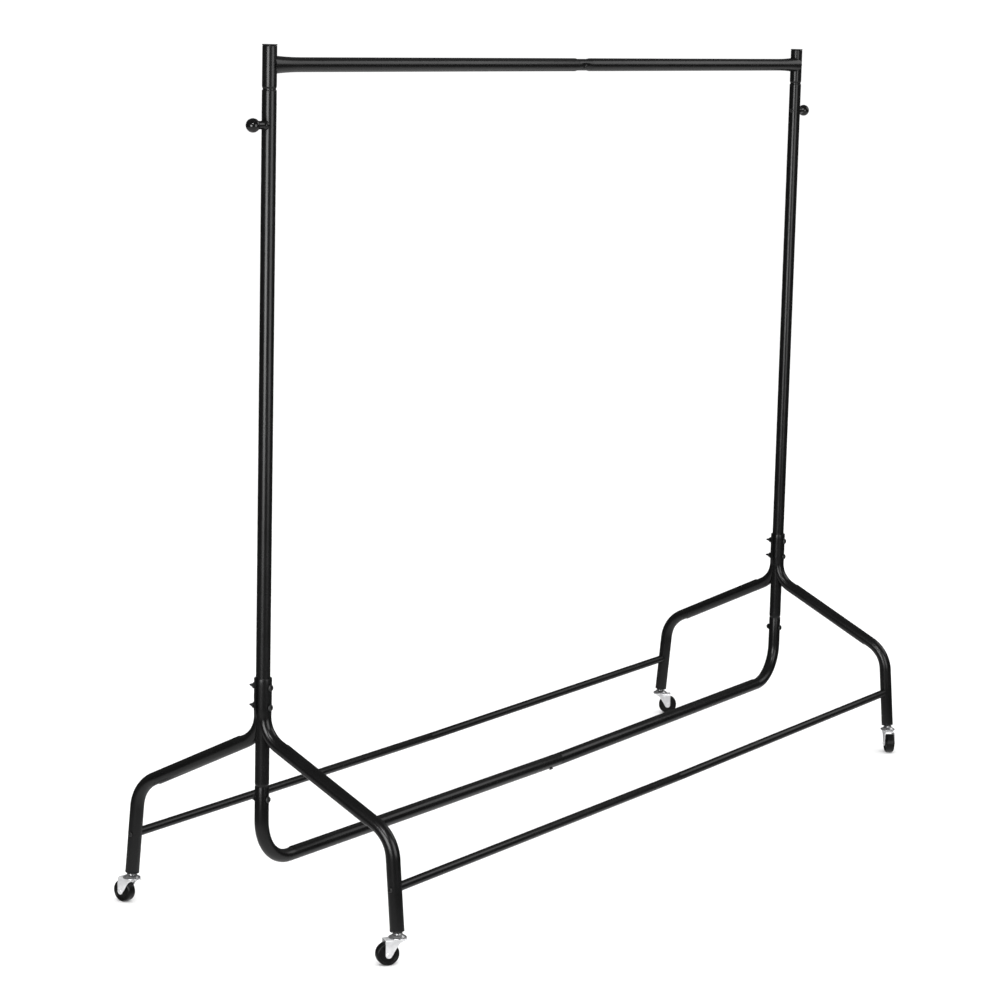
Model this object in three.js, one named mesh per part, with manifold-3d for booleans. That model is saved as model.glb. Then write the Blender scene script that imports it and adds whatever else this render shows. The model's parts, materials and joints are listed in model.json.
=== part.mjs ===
// Straight single-rail garment rack on four swivel casters.
// Millimetres, +Z up, +X along the rail, -Y is the front. The origin is on the floor, at the centre.
import * as THREE from 'three';
import { mergeVertices } from 'three/addons/utils/BufferGeometryUtils.js';
import Module from 'manifold-3d';

const wasm = await Module();
wasm.setup();

// ---- driving dimensions ----
const POST_SPACING = 1905;      // between the axes of the two uprights
const TUBE_RADIUS = 12.5;       // 25 mm tube: posts, rails and legs
const TUBE_WALL = 1;
const ROD_RADIUS = 8;           // 16 mm tube: the two low shoe rods
const ROD_WALL = 1;
const GAP = 0.3;                // left between touching pieces

const RAIL_Z = 1504;            // axis of the hanging rail
const POST_TOP_Z = 1536;        // top of the tee post's tube
const POST_SEAM_Z = 1464;       // tee post meets upright
const KNOB_Z = 1404;
const SLEEVE_TOP_Z = 456;       // top of the legs' clamped sleeves
const CLAMP_BOLT_Z = [440, 405];
const FOOT_SEAM_Z = 264;        // upright meets the bottom rail's upturned end
const FOOT_BOLT_Z = 241;
const BOTTOM_RAIL_Z = 124;      // at the posts
const BOTTOM_RAIL_SAG = 7.5;    // its middle joint hangs lower
const ROD_Z = 131;              // at the legs
const ROD_SAG = 3.5;
const LEG_END_Z = 60;           // bottom of the leg's tube

const TOP_JOINT_X = 47;         // middle of the waisted joint in the hanging rail
const WAIST = 24;               // half length of that waist
const WAIST_DEPTH = 1.4;
const BOTTOM_SEAM_X = 27;
const BOTTOM_SCREW_X = -8;
const ROD_SEAM_X = 15;          // on the front rod; the rear rod is turned end for end
const FLARE_LENGTH = 95;        // the hanging rail's ends are pressed taller and wider over this length
const FLARE_TALL = 0.34;
const FLARE_WIDE = 0.22;

const SPIGOT_RADIUS = 11.2;     // a tube's swaged end, which plugs into the next tube
const SPIGOT_WALL = 1;
const TEE_SPIGOT = 80;          // how far each spigot reaches into the next tube
const UPRIGHT_SPIGOT = 50;
const TOP_RAIL_SPIGOT = 60;
const BOTTOM_RAIL_SPIGOT = 70;
const ROD_SPIGOT = 45;
const ROD_PLUG = 36;            // the rod's solid end, measured from the leg's axis
const SLEEVE_RADIUS = 15.6;     // outside of the leg's crescent, which wraps the upright
const SLEEVE_LENGTH = 66;
const SLEEVE_REACH = THREE.MathUtils.degToRad(80);   // how far it wraps to each side
const LEG_OFFSET_Y = 3.1;       // leg axis beside the upright's axis, inside the sleeve
const LEG_SLOPE = THREE.MathUtils.degToRad(26.5);
const LEG_SPLAY = THREE.MathUtils.degToRad(5);
const LEG_SHOULDER = [276.6, 219.4];   // distance from the upright and height, before rounding
const LEG_TOP_BEND = 60;
const LEG_SHOULDER_BEND = 70;
const RAIL_BEND = 80;

const BALL_RADIUS = 12;
const BALL_REACH = 44;          // from the post's axis to the ball's centre
const KNOB_NECK = 7;
const KNOB_BASE = 8.8;

const BOLT_RADIUS = 2.8;        // M6, clamps and feet
const BOLT_HOLE = 3.4;
const SCREW_RADIUS = 2.2;       // M5, knobs and rods
const SCREW_HOLE = 2.8;
const PIN_SCREW_RADIUS = 1.8;   // M4, the rails' middle joints
const PIN_SCREW_HOLE = 2.4;
const PIN_SCREW_LENGTH = 9;
const BOLT_HEAD = 6;
const CLAMP_TAIL = 13;          // how far a bolt stands out behind its nut's seat
const FOOT_TAIL = 7.6;
const BOLT_POINT = 4;
const NUT_HEIGHT = 4.6;
const TOP_SCREW_LEAN = THREE.MathUtils.degToRad(20);      // below the front's horizontal
const BOTTOM_SCREW_LEAN = THREE.MathUtils.degToRad(60);

const WHEEL_RADIUS = 20;
const WHEEL_WIDTH = 17;
const CASTER_TRAIL = 18;        // from the swivel axis back to the axle
const CASTER_Y = 292;           // swivel axis, from the rack's middle
const STEM_RADIUS = 3.8;
const RACE_Z = 46.4;            // underside of the upper race
const CROWN_Z = 46;             // top of the fork's crown
const PLATE = 1.4;
const AXLE_RADIUS = 2.8;
const KINGPIN_RADIUS = 3;
// how each caster happens to point, in degrees from +X
const CASTER_HEADINGS = { left_rear: 85, left_front: 142, right_rear: 300, right_front: 219 };

const SIDES = 16;               // facets round a tube
const HOLE_SIDES = 8;

const HALF = POST_SPACING / 2;
const INNER_RADIUS = TUBE_RADIUS - TUBE_WALL;
const CLEAR_RADIUS = TUBE_RADIUS + GAP;
const FORK_INSIDE = WHEEL_WIDTH / 2 + 1;
const FORK_OUTSIDE = FORK_INSIDE + PLATE;
const UP = new THREE.Vector3(0, 0, 1);

// ---- materials ----
const paint = () => new THREE.MeshStandardMaterial({ color: 0x1c1c1d, roughness: 0.32, metalness: 0.2 });
const plastic = () => new THREE.MeshStandardMaterial({ color: 0x141415, roughness: 0.5, metalness: 0 });
const gloss = () => new THREE.MeshStandardMaterial({ color: 0x101011, roughness: 0.12, metalness: 0 });
const zinc = () => new THREE.MeshStandardMaterial({ color: 0xd4d6d8, roughness: 0.2, metalness: 1 });
const blackSteel = () => new THREE.MeshStandardMaterial({ color: 0x2a2a2b, roughness: 0.35, metalness: 0.7 });

// ---- solids ----
function toSolid(geometry) {
  const plain = geometry.clone();
  plain.deleteAttribute('normal');
  plain.deleteAttribute('uv');
  const merged = mergeVertices(plain, 1e-4);
  const source = merged.index.array;
  const triangles = [];
  for (let i = 0; i < source.length; i += 3) {
    const [a, b, c] = [source[i], source[i + 1], source[i + 2]];
    if (a !== b && b !== c && c !== a) triangles.push(a, b, c);
  }
  const vertProperties = new Float32Array(merged.attributes.position.array);
  const triVerts = new Uint32Array(triangles);
  return new wasm.Manifold(new wasm.Mesh({ numProp: 3, vertProperties, triVerts }));
}

function toGeometry(solid) {
  const mesh = solid.getMesh();
  const geometry = new THREE.BufferGeometry();
  geometry.setAttribute('position', new THREE.BufferAttribute(mesh.vertProperties, 3));
  geometry.setIndex(new THREE.BufferAttribute(mesh.triVerts, 1));
  return geometry;
}

function cut(geometry, ...tools) {
  return toGeometry(tools.reduce((solid, tool) => solid.subtract(toSolid(tool)), toSolid(geometry)));
}

function join(geometry, ...others) {
  return toGeometry(others.reduce((solid, other) => solid.add(toSolid(other)), toSolid(geometry)));
}

// A profile of [radius, height] points turned about +Z, written upwards on the outside.
function turned(points, sides = SIDES) {
  const profile = points.map(([radius, height]) => new THREE.Vector2(radius, height));
  return new THREE.LatheGeometry(profile, sides).rotateX(Math.PI / 2);
}

// A round bar from one point to another.
function bar(radius, from, to, sides = 12) {
  const start = new THREE.Vector3(...from);
  const end = new THREE.Vector3(...to);
  const way = end.clone().sub(start);
  const geometry = new THREE.CylinderGeometry(radius, radius, way.length(), sides);
  geometry.rotateX(Math.PI / 2);
  geometry.applyQuaternion(new THREE.Quaternion().setFromUnitVectors(UP, way.normalize()));
  const middle = start.add(end).multiplyScalar(0.5);
  return geometry.translate(middle.x, middle.y, middle.z);
}

// Lays a piece made along +Z down along +X (or -X).
const alongX = (geometry, sign = 1) => geometry.rotateY(sign * Math.PI / 2);

// A hollow tube with a swaged end below it: [mouth ... shoulder ... spigot tip].
function spigotTube(low, high, spigot) {
  const neck = SPIGOT_RADIUS - SPIGOT_WALL;
  return turned([
    [SPIGOT_RADIUS, low - spigot], [SPIGOT_RADIUS, low], [TUBE_RADIUS - 0.6, low + 0.3],
    [TUBE_RADIUS, low + 1.5], [TUBE_RADIUS, high], [INNER_RADIUS, high], [INNER_RADIUS, low + 2],
    [neck, low], [neck, low - spigot], [SPIGOT_RADIUS, low - spigot],
  ]);
}

// A round hole's cutter.
const drill = (radius, from, to) => bar(radius, from, to, HOLE_SIDES);

// ---- a path of straight runs and arcs, with exact sections at each station ----
class BentPath extends THREE.Curve {
  constructor(corners, bends, arcSteps) {
    super();
    this.points = [corners[0]];
    this.tangents = [corners[1].clone().sub(corners[0]).normalize()];
    for (let i = 1; i < corners.length - 1; i += 1) this.addBend(corners, i, bends[i - 1], arcSteps);
    this.points.push(corners[corners.length - 1]);
    this.tangents.push(this.tangents[this.tangents.length - 1].clone());
  }

  addBend(corners, i, radius, arcSteps) {
    const into = corners[i].clone().sub(corners[i - 1]).normalize();
    const out = corners[i + 1].clone().sub(corners[i]).normalize();
    const turn = into.angleTo(out);
    const axis = into.clone().cross(out).normalize();
    const start = corners[i].clone().addScaledVector(into, -radius * Math.tan(turn / 2));
    const inward = axis.clone().cross(into);
    for (let step = 0; step <= arcSteps; step += 1) {
      const angle = turn * step / arcSteps;
      const along = into.clone().multiplyScalar(radius * Math.sin(angle));
      const aside = inward.clone().multiplyScalar(radius * (1 - Math.cos(angle)));
      this.points.push(start.clone().add(along).add(aside));
      this.tangents.push(into.clone().applyAxisAngle(axis, angle));
    }
  }

  getSpacedPoints() {
    return this.points;
  }

  getTangentAt(u, target = new THREE.Vector3()) {
    return target.copy(this.tangents[Math.round(u * (this.points.length - 1))]);
  }
}

function pipe(radius, path, innerRadius = 0) {
  const section = new THREE.Shape().absarc(0, 0, radius, 0, 2 * Math.PI);
  if (innerRadius > 0) section.holes.push(new THREE.Path().absarc(0, 0, innerRadius, 0, 2 * Math.PI));
  const settings = { steps: path.points.length - 1, extrudePath: path, curveSegments: SIDES / 2 };
  return new THREE.ExtrudeGeometry(section, settings);
}

// ---- top: tee posts and hanging rail ----
function teePost() {
  const tube = spigotTube(POST_SEAM_Z, POST_TOP_Z, TEE_SPIGOT);
  return cut(tube, drill(SCREW_HOLE, [-20, 0, KNOB_Z], [20, 0, KNOB_Z]));
}

function postCap() {
  const brim = TUBE_RADIUS + 0.5;
  const plug = INNER_RADIUS - GAP;
  return turned([
    [0, POST_TOP_Z - 12], [plug - 1, POST_TOP_Z - 12], [plug, POST_TOP_Z - 11], [plug, POST_TOP_Z + GAP],
    [brim, POST_TOP_Z + GAP], [brim, POST_TOP_Z + 1.4], [brim - 0.7, POST_TOP_Z + 2.1], [0, POST_TOP_Z + 2.1],
  ]);
}

// The rail half's end is pressed tall and narrow, and coped to fit round the post.
function railFlare(sign) {
  const geometry = new THREE.CylinderGeometry(TUBE_RADIUS, TUBE_RADIUS, FLARE_LENGTH, SIDES, 5);
  geometry.rotateZ(Math.PI / 2);
  const position = geometry.attributes.position;
  for (let i = 0; i < position.count; i += 1) {
    const swell = (position.getX(i) / FLARE_LENGTH + 0.5) ** 2.2;
    position.setZ(i, position.getZ(i) * (1 + FLARE_TALL * swell));
    position.setY(i, position.getY(i) * (1 + FLARE_WIDE * swell));
  }
  geometry.translate(HALF + 4 - FLARE_LENGTH / 2, 0, 0);
  if (sign < 0) geometry.rotateZ(Math.PI);
  return geometry.translate(0, 0, RAIL_Z);
}

// A cutter from the front into a rail's axis, leaning below the horizontal.
function railHole(x, z, lean) {
  return drill(PIN_SCREW_HOLE, [x, -20 * Math.cos(lean), z - 20 * Math.sin(lean)], [x, 0, z]);
}

const TUBE_START = 60;          // the round tube starts inside the flare, this far from the post's axis

function topRailLeft() {
  const end = HALF - TUBE_START + TOP_JOINT_X - WAIST;
  const tube = turned([
    [TUBE_RADIUS, 0], [TUBE_RADIUS, end - 1], [TUBE_RADIUS - 0.6, end],
    [INNER_RADIUS, end], [INNER_RADIUS, 0], [TUBE_RADIUS, 0],
  ]);
  alongX(tube).translate(TUBE_START - HALF, 0, RAIL_Z);
  return coped(tube, -1);
}

function topRailRight() {
  const end = HALF - TUBE_START - TOP_JOINT_X - WAIST;
  const neck = end + 2 * WAIST;
  const slim = TUBE_RADIUS - WAIST_DEPTH;
  const bore = SPIGOT_RADIUS - SPIGOT_WALL;
  const tube = turned([
    [TUBE_RADIUS, 0], [TUBE_RADIUS, end - 2], [slim, end + 3], [slim, neck - GAP],
    [SPIGOT_RADIUS, neck - GAP], [SPIGOT_RADIUS, neck + TOP_RAIL_SPIGOT], [bore, neck + TOP_RAIL_SPIGOT],
    [bore, end], [INNER_RADIUS, end - 3], [INNER_RADIUS, 0], [TUBE_RADIUS, 0],
  ]);
  alongX(tube, -1).translate(HALF - TUBE_START, 0, RAIL_Z);
  return cut(coped(tube, 1), railHole(TOP_JOINT_X, RAIL_Z, TOP_SCREW_LEAN));
}

// Joins a rail's tube to its flare and copes the flare round the post, as far as the post's axis.
function coped(tube, sign) {
  const bore = bar(INNER_RADIUS, [sign * (HALF - TUBE_START + 1), 0, RAIL_Z], [0, 0, RAIL_Z], SIDES);
  const post = bar(CLEAR_RADIUS, [sign * HALF, 0, RAIL_Z - 40], [sign * HALF, 0, RAIL_Z + 40], SIDES);
  const behind = new THREE.BoxGeometry(60, 80, 80).translate(sign * (HALF + 29), 0, RAIL_Z);
  return cut(join(cut(railFlare(sign), bore), tube), post, behind);
}

// A pan head screw along -Z, its head's underside at the origin.
function panScrew(shank, length, head, height) {
  return turned([
    [0, -length - shank], [shank, -length], [shank, 0], [head, 0],
    [head, height * 0.35], [head * 0.8, height * 0.85], [0, height],
  ], 10);
}

// Turns a screw made along -Z so that its head faces a direction.
function facing(geometry, direction) {
  const way = new THREE.Vector3(...direction).normalize();
  return geometry.applyQuaternion(new THREE.Quaternion().setFromUnitVectors(UP, way));
}

// ---- uprights, knobs and bottom rail ----
function upright() {
  const tube = spigotTube(FOOT_SEAM_Z, POST_SEAM_Z - 1.6, UPRIGHT_SPIGOT);
  const knobHole = drill(SCREW_HOLE, [-20, 0, KNOB_Z], [20, 0, KNOB_Z]);
  const boltHoles = [...CLAMP_BOLT_Z, FOOT_BOLT_Z].map((z) => drill(BOLT_HOLE, [0, -20, z], [0, 20, z]));
  return cut(tube, knobHole, ...boltHoles);
}

function ballKnob() {
  const points = [[0, 9], [KNOB_BASE, 9], [KNOB_BASE, 14], [KNOB_BASE - 0.9, 17], [KNOB_NECK, 20.5]];
  const start = -Math.acos(KNOB_NECK / BALL_RADIUS);
  const steps = 7;
  for (let step = 0; step <= steps; step += 1) {
    const angle = start + (Math.PI / 2 - start) * step / steps;
    points.push([Math.max(0, BALL_RADIUS * Math.cos(angle)), BALL_REACH + BALL_RADIUS * Math.sin(angle)]);
  }
  const knob = alongX(turned(points), -1).translate(0, 0, KNOB_Z);
  const post = bar(CLEAR_RADIUS, [0, 0, KNOB_Z - 30], [0, 0, KNOB_Z + 30], SIDES);
  return cut(knob, post, drill(SCREW_HOLE, [0, 0, KNOB_Z], [-36, 0, KNOB_Z]));
}

// The bottom rail's halves slope down to their joint. The left half's axis at a place along it:
const BOTTOM_JOINT_Z = BOTTOM_RAIL_Z - BOTTOM_RAIL_SAG;
const LEFT_SLOPE = BOTTOM_RAIL_SAG / (HALF + BOTTOM_SEAM_X);
const leftRailZ = (x) => BOTTOM_JOINT_Z + (BOTTOM_SEAM_X - x) * LEFT_SLOPE;

function bottomRailTube(sign) {
  const corners = [
    new THREE.Vector3(sign * HALF, 0, FOOT_SEAM_Z - GAP),
    new THREE.Vector3(sign * HALF, 0, BOTTOM_RAIL_Z),
    new THREE.Vector3(BOTTOM_SEAM_X, 0, BOTTOM_JOINT_Z),
  ];
  const tube = pipe(TUBE_RADIUS, new BentPath(corners, [RAIL_BEND], 6), INNER_RADIUS);
  return cut(tube, drill(BOLT_HOLE, [sign * HALF, -20, FOOT_BOLT_Z], [sign * HALF, 20, FOOT_BOLT_Z]));
}

const bottomScrewHole = () => railHole(BOTTOM_SCREW_X, leftRailZ(BOTTOM_SCREW_X), BOTTOM_SCREW_LEAN);

const bottomRailLeft = () => cut(bottomRailTube(-1), bottomScrewHole());

// The right half's plug lies in line with the left half, which it enters.
function bottomRailRight() {
  const bore = SPIGOT_RADIUS - SPIGOT_WALL;
  const shoulder = TUBE_RADIUS - 0.5;
  const plug = turned([
    [SPIGOT_RADIUS, -BOTTOM_RAIL_SPIGOT], [SPIGOT_RADIUS, 0.5], [shoulder, 2], [shoulder, 6],
    [bore, 6], [bore, -BOTTOM_RAIL_SPIGOT], [SPIGOT_RADIUS, -BOTTOM_RAIL_SPIGOT],
  ]);
  alongX(plug).rotateY(Math.atan(LEFT_SLOPE)).translate(BOTTOM_SEAM_X + GAP, 0, BOTTOM_JOINT_Z);
  const mouth = new THREE.BoxGeometry(4, 40, 40).translate(BOTTOM_SEAM_X, 0, BOTTOM_JOINT_Z);
  return cut(join(cut(bottomRailTube(1), mouth), plug), bottomScrewHole());
}

// ---- legs: made for the front, and turned half round for the rear ----
const LEG_FOOT_Y = LEG_SHOULDER[0] + (LEG_SHOULDER[1] - LEG_END_Z) * Math.tan(LEG_SPLAY);
const LEG_TOP_Z = LEG_SHOULDER[1] + (LEG_SHOULDER[0] - LEG_OFFSET_Y) * Math.tan(LEG_SLOPE);
const ROD_Y = LEG_SHOULDER[0] + (LEG_SHOULDER[1] - ROD_Z) * Math.tan(LEG_SPLAY);

function legPath(topZ) {
  const corners = [
    new THREE.Vector3(0, -LEG_OFFSET_Y, topZ),
    new THREE.Vector3(0, -LEG_OFFSET_Y, LEG_TOP_Z),
    new THREE.Vector3(0, -LEG_SHOULDER[0], LEG_SHOULDER[1]),
    new THREE.Vector3(0, -LEG_FOOT_Y, LEG_END_Z),
  ];
  return new BentPath(corners, [LEG_TOP_BEND, LEG_SHOULDER_BEND], 5);
}

// The bore starts on the slope, below the pressed end, and runs out past the foot.
function legBorePath() {
  const start = 34;
  const past = 5;
  const corners = [
    new THREE.Vector3(0, -LEG_OFFSET_Y - start, LEG_TOP_Z - start * Math.tan(LEG_SLOPE)),
    new THREE.Vector3(0, -LEG_SHOULDER[0], LEG_SHOULDER[1]),
    new THREE.Vector3(0, -LEG_FOOT_Y - past * Math.tan(LEG_SPLAY), LEG_END_Z - past),
  ];
  return new BentPath(corners, [LEG_SHOULDER_BEND], 5);
}

function sleeve() {
  const front = -Math.PI / 2;
  const shape = new THREE.Shape();
  shape.absarc(0, 0, SLEEVE_RADIUS, front - SLEEVE_REACH, front + SLEEVE_REACH, false);
  shape.absarc(0, 0, CLEAR_RADIUS - 1, front + SLEEVE_REACH, front - SLEEVE_REACH, true);
  const settings = { depth: SLEEVE_LENGTH, bevelEnabled: false, curveSegments: 7 };
  return new THREE.ExtrudeGeometry(shape, settings).translate(0, 0, SLEEVE_TOP_Z - SLEEVE_LENGTH);
}

function leg() {
  const body = join(pipe(TUBE_RADIUS, legPath(SLEEVE_TOP_Z - SLEEVE_LENGTH + 10)), sleeve());
  const post = bar(CLEAR_RADIUS, [0, 0, 0], [0, 0, SLEEVE_TOP_Z + 10], SIDES);
  const rearHalf = new THREE.BoxGeometry(60, 60, 300).translate(0, 30 - GAP, SLEEVE_TOP_Z - 100);
  const bolts = CLAMP_BOLT_Z.map((z) => drill(BOLT_HOLE, [0, -30, z], [0, 0, z]));
  const rodScrew = drill(SCREW_HOLE, [-20, -ROD_Y, ROD_Z], [20, -ROD_Y, ROD_Z]);
  return cut(body, pipe(INNER_RADIUS, legBorePath()), post, rearHalf, ...bolts, rodScrew);
}

// A bolt along Y through upright and sleeves: head at the front, point at the rear.
function throughBolt(seat, tail) {
  const tip = -seat - tail;
  const points = [
    [0, tip], [1.2, tip], [BOLT_RADIUS, tip + BOLT_POINT], [BOLT_RADIUS, seat], [BOLT_HEAD, seat],
    [BOLT_HEAD, seat + 1], [BOLT_HEAD * 0.8, seat + 2.7], [0, seat + 3.4],
  ];
  return turned(points, 10).rotateX(Math.PI / 2);
}

// A flanged nut behind its seat.
function hexNut(seat) {
  const hexagon = new THREE.CylinderGeometry(5.8, 5.8, NUT_HEIGHT, 6).translate(0, seat + NUT_HEIGHT / 2, 0);
  const flange = new THREE.CylinderGeometry(6.6, 6.6, 1, 12).translate(0, seat + 0.5, 0);
  return cut(join(hexagon, flange), drill(BOLT_HOLE, [0, 0, 0], [0, seat + 20, 0]));
}

// ---- rods: made from the seam towards +X, where they meet the leg ----
function rodHalf(seam, spigot, lean) {
  const reach = HALF - seam;
  const bore = ROD_RADIUS - ROD_WALL;
  const neck = bore - 2 * GAP;
  const rim = ROD_RADIUS - 0.3;
  const mouth = spigot
    ? [[neck, -ROD_SPIGOT], [neck, 0], [rim, 0.1], [ROD_RADIUS, 0.6]]
    : [[rim, GAP], [ROD_RADIUS, 0.8]];
  const inside = spigot
    ? [[bore, 6], [neck - ROD_WALL, 4], [neck - ROD_WALL, -ROD_SPIGOT], [neck, -ROD_SPIGOT]]
    : [[bore, GAP], [rim, GAP]];
  const plug = reach - ROD_PLUG;
  const tube = turned([...mouth, [ROD_RADIUS, reach], [0, reach], [0, plug], [bore, plug], ...inside]);
  alongX(tube);
  const [across, down] = [40 * Math.sin(lean), 40 * Math.cos(lean)];
  const legTube = bar(CLEAR_RADIUS, [reach, across, down], [reach, -across, -down], SIDES);
  const behind = new THREE.BoxGeometry(30, 40, 40).translate(reach + 15, 0, 0);
  const cope = cut(tube, legTube, behind, drill(SCREW_HOLE, [plug + 2, 0, 0], [reach, 0, 0]));
  return cope.rotateY(-Math.atan2(ROD_SAG, reach));
}

// ---- casters: stem axis along +Z, trailing towards +X, heights from the floor ----
// The socket sits square in the splayed leg; its bore is plumb, so the swivel axis is upright.
function casterSocket() {
  const plug = INNER_RADIUS - GAP;
  const flange = TUBE_RADIUS + 0.2;
  const body = turned([
    [0, -3], [flange - 1.6, -3], [flange, -1.2], [flange, -GAP], [plug, -GAP], [plug, 28], [0, 28],
  ]);
  body.rotateX(-LEG_SPLAY).translate(0, -LEG_FOOT_Y, LEG_END_Z);
  const [below, above] = [LEG_END_Z - 20, LEG_END_Z + 24];
  return cut(body, bar(STEM_RADIUS + 0.45, [0, -CASTER_Y, below], [0, -CASTER_Y, above]));
}

function casterStem() {
  return turned([
    [0, 42.4], [6, 42.4], [6, 43.6], [KINGPIN_RADIUS, 43.6], [KINGPIN_RADIUS, RACE_Z],
    [16, RACE_Z], [15.4, RACE_Z + 2.6], [9, RACE_Z + 6.1], [8.4, 55.4],
    [STEM_RADIUS, 55.4], [STEM_RADIUS, 81], [0, 82.5],
  ]);
}

const FORK_FRONT = 12;          // how far the crown reaches in front of the swivel axis
const FORK_TIP = 6;             // radius round the axle

// The cheek's side view: round under the axle, upright behind, slanting up to the crown in front.
function forkPlateShape() {
  const tipStart = THREE.MathUtils.degToRad(225);
  const shape = new THREE.Shape();
  shape.moveTo(-FORK_FRONT, CROWN_Z);
  shape.lineTo(-FORK_FRONT, CROWN_Z - 4);
  shape.lineTo(-4, CROWN_Z - 10);
  shape.absarc(CASTER_TRAIL, WHEEL_RADIUS, FORK_TIP, tipStart, 2 * Math.PI, false);
  shape.lineTo(CASTER_TRAIL + FORK_TIP, CROWN_Z);
  return shape;
}

function casterFork() {
  const settings = { depth: PLATE, bevelEnabled: false, curveSegments: 6 };
  const near = new THREE.ExtrudeGeometry(forkPlateShape(), settings);
  near.rotateX(Math.PI / 2);
  const far = near.clone();
  near.translate(0, -FORK_INSIDE, 0);
  far.translate(0, FORK_OUTSIDE, 0);
  const length = FORK_FRONT + CASTER_TRAIL + FORK_TIP;
  const crown = new THREE.BoxGeometry(length, 2 * FORK_OUTSIDE, 2);
  crown.translate(length / 2 - FORK_FRONT, 0, CROWN_Z - 1);
  const race = bar(13.5, [0, 0, CROWN_Z - 2], [0, 0, CROWN_Z], 16);
  const axle = bar(AXLE_RADIUS + 0.5, [CASTER_TRAIL, -30, WHEEL_RADIUS], [CASTER_TRAIL, 30, WHEEL_RADIUS]);
  const king = bar(KINGPIN_RADIUS + 0.5, [0, 0, 30], [0, 0, 60]);
  return cut(join(near, far, crown, race), axle, king);
}

function casterAxle() {
  const end = FORK_OUTSIDE + GAP;
  const points = [
    [0, -end - 1.4], [4.4, -end - 0.8], [4.4, -end], [AXLE_RADIUS, -end],
    [AXLE_RADIUS, end], [4.4, end], [4.4, end + 0.8], [0, end + 1.4],
  ];
  return turned(points, 10).rotateX(Math.PI / 2).translate(CASTER_TRAIL, 0, WHEEL_RADIUS);
}

function casterWheel() {
  const half = WHEEL_WIDTH / 2;
  const bore = AXLE_RADIUS + 0.4;
  const hub = half + 0.5;
  const web = half - 1.4;       // the sides are hollowed between hub and tread
  const edge = WHEEL_RADIUS - 1.4;
  const points = [
    [bore, -hub], [6.5, -hub], [7, -web], [15, -web], [16, -half], [edge, -half], [WHEEL_RADIUS, 2.4 - half],
    [WHEEL_RADIUS, half - 2.4], [edge, half], [16, half], [15, web], [7, web], [6.5, hub], [bore, hub],
    [bore, -hub],
  ];
  return turned(points, 20).rotateX(Math.PI / 2).translate(CASTER_TRAIL, 0, WHEEL_RADIUS);
}

// ---- assembly ----
const rack = new THREE.Group();

function add(parent, name, geometry, material) {
  const mesh = new THREE.Mesh(geometry, material);
  mesh.name = name;
  parent.add(mesh);
  return mesh;
}

// A rail's short screw sits on a round seat, leaning below the horizontal towards the front.
function addRailScrew(name, x, z, seat, lean, head) {
  const [front, down] = [Math.cos(lean), Math.sin(lean)];
  const screw = facing(panScrew(PIN_SCREW_RADIUS, PIN_SCREW_LENGTH, head, 2.4), [0, -front, -down]);
  add(rack, name, screw, blackSteel()).position.set(x, -seat * front, z - seat * down);
}

add(rack, 'top_rail_left', topRailLeft(), paint());
add(rack, 'top_rail_right', topRailRight(), paint());
addRailScrew('top_rail_screw', TOP_JOINT_X, RAIL_Z, CLEAR_RADIUS - WAIST_DEPTH, TOP_SCREW_LEAN, 4.2);
add(rack, 'bottom_rail_left', bottomRailLeft(), paint());
add(rack, 'bottom_rail_right', bottomRailRight(), paint());
const bottomScrewZ = leftRailZ(BOTTOM_SCREW_X);
addRailScrew('bottom_rail_screw', BOTTOM_SCREW_X, bottomScrewZ, CLEAR_RADIUS, BOTTOM_SCREW_LEAN, 4.4);

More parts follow.
